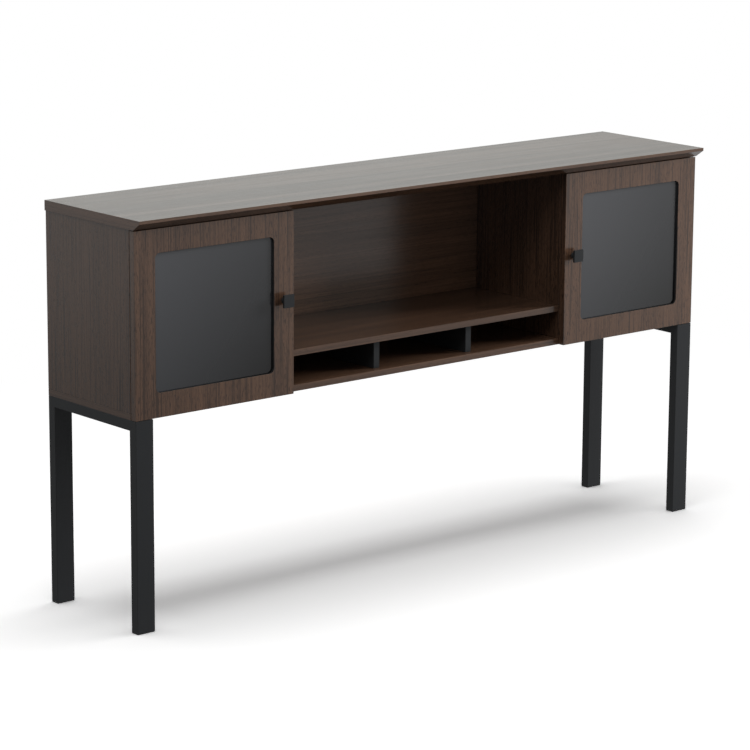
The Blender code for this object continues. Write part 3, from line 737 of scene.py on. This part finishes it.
def by_ray(tree, to_camera, to_gloss, otherwise):
    """Shows one shader to the camera, one to gloss and glass, and lights the hutch with a third."""
    path = add(tree, "LightPath").outputs
    mirrored = maths(tree, "MAXIMUM", path["Is Glossy Ray"], path["Is Transmission Ray"])
    unseen = add(tree, "MixShader", {0: mirrored, 1: otherwise.outputs[0], 2: to_gloss.outputs[0]})
    seen = add(tree, "MixShader", {0: path["Is Camera Ray"], 1: unseen.outputs[0], 2: to_camera.outputs[0]})
    return seen.outputs[0]


def make_world():
    """A white room that lights the hutch softly."""
    world = bpy.data.worlds.new("studio_room")
    bpy.context.scene.world = world
    world.use_nodes = True
    tree = world.node_tree
    tree.nodes.clear()
    fill = add(tree, "Background", {"Color": WHITE, "Strength": ROOM_FILL})
    white = add(tree, "Background", {"Color": WHITE, "Strength": 1.0})
    way = split(tree, add(tree, "TexCoord").outputs["Generated"])
    pale = add(tree, "Background", {"Color": ROOM_TINT, "Strength": stretch(tree, way["X"], **ROOM_GLOSS)})
    add(tree, "OutputWorld", {"Surface": by_ray(tree, white, pale, fill)})


def pale_floor():
    """Keeps the soft shadow near the hutch, fades to white away from it, and glows unevenly in gloss."""
    made = bpy.data.materials.new("pale_floor")
    made.use_nodes = True
    tree = made.node_tree
    tree.nodes.clear()
    spot = add(tree, "TexCoord").outputs["Object"]
    reach = length_of(tree, vector_maths(tree, "MULTIPLY", spot, FLOOR_FADE_SHAPE))
    matt = add(tree, "BsdfDiffuse", {"Color": FLOOR_PALE})
    white = add(tree, "Emission", {"Color": WHITE, "Strength": 1.0})
    shown = add(tree, "MixShader", {0: stretch(tree, reach, **FLOOR_FADE),
                                    1: matt.outputs[0], 2: white.outputs[0]})
    to_right = stretch(tree, split(tree, spot)["X"], **FLOOR_GLOW_TO_RIGHT)
    far_off = stretch(tree, length_of(tree, spot), **FLOOR_GLOW_FAR_OFF)
    glow = add(tree, "Emission", {"Color": WHITE, "Strength": maths(tree, "MAXIMUM", to_right, far_off)})
    bounce = add(tree, "BsdfDiffuse", {"Color": FLOOR_BOUNCE})
    add(tree, "OutputMaterial", {"Surface": by_ray(tree, shown, glow, bounce)})
    return made


def make_floor():
    bpy.ops.object.select_all(action="DESELECT")
    bpy.ops.mesh.primitive_plane_add(size=2 * FLOOR_HALF)
    floor = bpy.context.object
    floor.name = "studio_floor"
    dress(floor, pale_floor())
    return floor


def softbox(name, place_at, size, power):
    """A lamp panel that lights the hutch but shows neither to the camera nor in gloss or glass."""
    lamp = bpy.data.lights.new(name, "AREA")
    lamp.shape = "RECTANGLE"
    lamp.size, lamp.size_y = size
    lamp.energy = power
    made = bpy.data.objects.new(name, lamp)
    made.location = place_at
    made.rotation_euler = (Vector(LAMP_AIM) - Vector(place_at)).to_track_quat("-Z", "Y").to_euler()
    made.visible_camera = False
    made.visible_glossy = False
    made.visible_transmission = False
    bpy.context.scene.collection.objects.link(made)
    return made


def keep_off(floor, lamps):
    """Keeps the light of some lamps off the floor, so that only the overhead one throws a shadow there."""
    spared = bpy.data.collections.new("lit_by_overhead_only")
    spared.objects.link(floor)
    spared.collection_objects[0].light_linking.link_state = "EXCLUDE"
    for lamp in lamps:
        lamp.light_linking.receiver_collection = spared


def make_lights(floor):
    softbox("overhead_softbox", **OVERHEAD)
    key = softbox("key_softbox", **KEY)
    rim = softbox("rim_softbox", **RIM)
    front = softbox("front_softbox", **FRONT)
    top_front = softbox("top_front_softbox", **TOP_FRONT)
    keep_off(floor, (key, rim, front, top_front))


def make_camera():
    lens = bpy.data.cameras.new("photo_view")
    lens.lens = CAMERA_LENS
    lens.sensor_width = SENSOR
    camera = bpy.data.objects.new("photo_view", lens)
    turn = (Matrix.Rotation(-CAMERA_TURN, 4, "Z") @ Matrix.Rotation(QUARTER_TURN + CAMERA_TILT, 4, "X")
            @ Matrix.Rotation(CAMERA_ROLL, 4, "Z"))
    camera.matrix_world = Matrix.Translation(CAMERA_PLACE) @ turn
    bpy.context.scene.collection.objects.link(camera)
    bpy.context.scene.camera = camera


bpy.context.scene.view_settings.view_transform = "Standard"
dress_frame()
put_hinge_screws()
make_world()
make_lights(make_floor())
make_camera()
